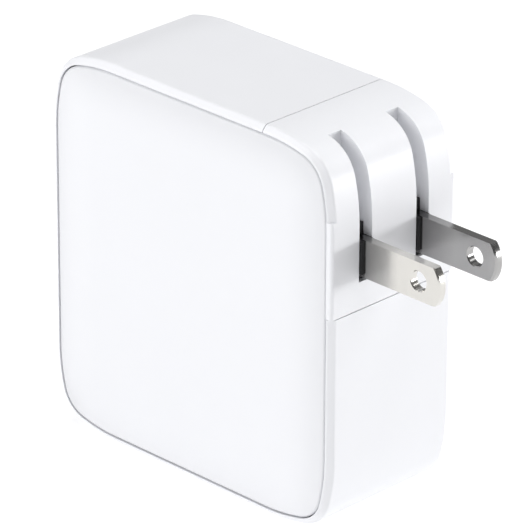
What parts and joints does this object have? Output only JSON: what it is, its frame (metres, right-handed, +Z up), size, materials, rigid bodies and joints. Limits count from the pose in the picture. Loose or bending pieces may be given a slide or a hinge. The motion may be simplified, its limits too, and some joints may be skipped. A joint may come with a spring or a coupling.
{
  "type": "laptop power adapter",
  "caption": "White wall adapter for a laptop: flat rounded block with a slide-off corner plug module, folding wall blades and a USB-C outlet.",
  "frame": {"origin": "centre of the bottom face that the adapter stands on", "axes": "+Z up, +X the way the deployed wall blades point, -Y the front panel"},
  "size_m": [0.0789, 0.0274, 0.0666],
  "materials": {
    "white_shell": "satin moulded polycarbonate",
    "white_module": "satin moulded polycarbonate",
    "black_insulator": "fine matt",
    "nickel": "satin nickel plate",
    "spring_steel": "rolled",
    "bronze": "rolled phosphor bronze",
    "copper": "enamelled copper",
    "gold_contacts": "gold flash",
    "aluminium": "milled",
    "ferrite": "ground ferrite",
    "board": "green solder mask",
    "solder": "soldered",
    "sheet": "clear polyester film",
    "tape": "yellow polyester tape",
    "dark_sleeve": "shrunk sleeve",
    "yellow_box": "moulded box",
    "blue_dip": "dipped lacquer",
    "green_dip": "dipped lacquer",
    "brown_tube": "ceramic tube",
    "black_epoxy": "moulded epoxy",
    "grey_pad": "soft silicone"
  },
  "bodies": {
    "housing": {"housing_frame": "white_shell", "front_panel": "white_shell", "rear_panel": "white_shell", "inlet_socket": "black_insulator", "inlet_pins": "nickel", "inlet_leads": "copper", "ground_stud": "nickel", "stud_nut": "spring_steel", "usb_shell": "spring_steel", "usb_tongue": "black_insulator", "usb_contacts": "gold_contacts", "usb_board": "board", "board_header": "gold_contacts", "main_board": "board", "solder_joints": "solder", "insulating_sheet": "sheet", "transformer_cores": "ferrite", "transformer_bobbin": "black_insulator", "transformer_winding": "copper", "transformer_tape": "tape", "bulk_capacitors": "dark_sleeve", "capacitor_leads": "solder", "output_capacitors": "aluminium", "choke_core": "ferrite", "choke_windings": "copper", "choke_base": "black_insulator", "x_capacitor": "yellow_box", "y_capacitor": "blue_dip", "varistor": "blue_dip", "thermistor": "green_dip", "fuse": "brown_tube", "bridge_rectifier": "black_epoxy", "primary_transistor": "black_epoxy", "primary_heatsink": "aluminium", "transistor_screw": "spring_steel", "secondary_heatsink": "copper", "thermal_pads": "grey_pad", "output_inductor": "ferrite", "control_chips": "black_epoxy", "optocoupler": "black_epoxy", "chip_passives": "black_epoxy"},
    "plug_module": {"plug_shell": "white_module", "plug_cover": "white_module", "detent_spring": "spring_steel", "stud_spring": "spring_steel", "socket_sleeve_line": "bronze", "socket_sleeve_neutral": "bronze", "contact_spring_line": "bronze", "contact_spring_neutral": "bronze"},
    "blades": {"blade_line": "nickel", "blade_neutral": "nickel", "blade_rotor": "black_insulator"}
  },
  "joints": [
    {"name": "module_slide", "type": "slide", "parent": "housing", "child": "plug_module", "axis": [1, 0, 0], "range_m": [0, 0.025]},
    {"name": "blade_fold", "type": "hinge", "parent": "plug_module", "child": "blades", "pos_m": [0.028, 0, 0.04712], "axis": [0, -1, 0], "range_deg": [0, 90]}
  ]
}
